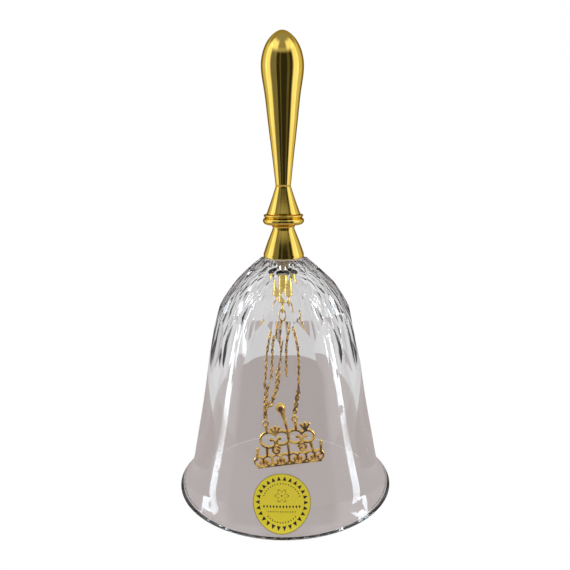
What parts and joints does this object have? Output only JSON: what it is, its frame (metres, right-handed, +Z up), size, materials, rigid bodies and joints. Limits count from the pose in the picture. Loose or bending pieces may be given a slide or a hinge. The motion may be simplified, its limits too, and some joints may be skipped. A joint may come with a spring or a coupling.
{
  "type": "hand bell",
  "caption": "Free-standing hand bell: faceted clear glass bell, turned gold-plated handle, and a gold scrollwork clapper hanging inside on fine chain.",
  "frame": {"origin": "centre of the rim, on the surface that the bell stands on", "axes": "+Z up the bell's axis to the top of the handle; -Y towards the side with the foil label; +X to the right seen from that side"},
  "size_m": [0.082, 0.082, 0.167],
  "materials": {
    "clear_crystal": "polished clear lead crystal with flat-cut facets",
    "polished_gold_plate": "mirror-polished yellow gold plate on turned brass",
    "cast_gold_plate": "bright gold plate on a cast openwork plate",
    "chain_gold": "bright gold plate on fine wire links",
    "zinc_plated_steel": "plated threaded rod",
    "clear_vinyl": "soft translucent washer",
    "label_foil": "yellow metallised foil label with a printed ornamental border"
  },
  "bodies": {
    "bell": {"glass_bell": "clear_crystal", "handle_grip": "polished_gold_plate", "handle_collar": "polished_gold_plate", "handle_bead": "polished_gold_plate", "handle_ferrule": "polished_gold_plate", "handle_stud": "zinc_plated_steel", "seat_washer": "clear_vinyl", "crown_washer": "clear_vinyl", "hanger_nut": "polished_gold_plate", "hanger_eye": "polished_gold_plate", "foil_label": "label_foil"},
    "ring": {"swing_ring": "chain_gold"},
    "chain": {"end_ring_left": "chain_gold", "end_ring_middle": "chain_gold", "end_ring_right": "chain_gold", "chain_left": "chain_gold", "chain_middle": "chain_gold", "chain_right": "chain_gold", "tail_ring": "chain_gold", "lug_ring_left": "chain_gold", "lug_ring_right": "chain_gold"},
    "charm": {"charm_scroll": "cast_gold_plate", "charm_bud": "cast_gold_plate"}
  },
  "joints": [
    {"name": "swing_side_to_side", "type": "hinge", "parent": "bell", "child": "ring", "pos_m": [0, 0, 0.06835], "axis": [0, 1, 0], "range_deg": [-10, 10]},
    {"name": "swing_front_to_back", "type": "hinge", "parent": "ring", "child": "chain", "pos_m": [0, 0, 0.06514], "axis": [1, 0, 0], "range_deg": [-12, 12]},
    {"name": "charm_rock", "type": "hinge", "parent": "chain", "child": "charm", "pos_m": [0.00377, 0, 0.02691], "axis": [0.9854, 0, 0.1704], "range_deg": [-10, 10]}
  ]
}
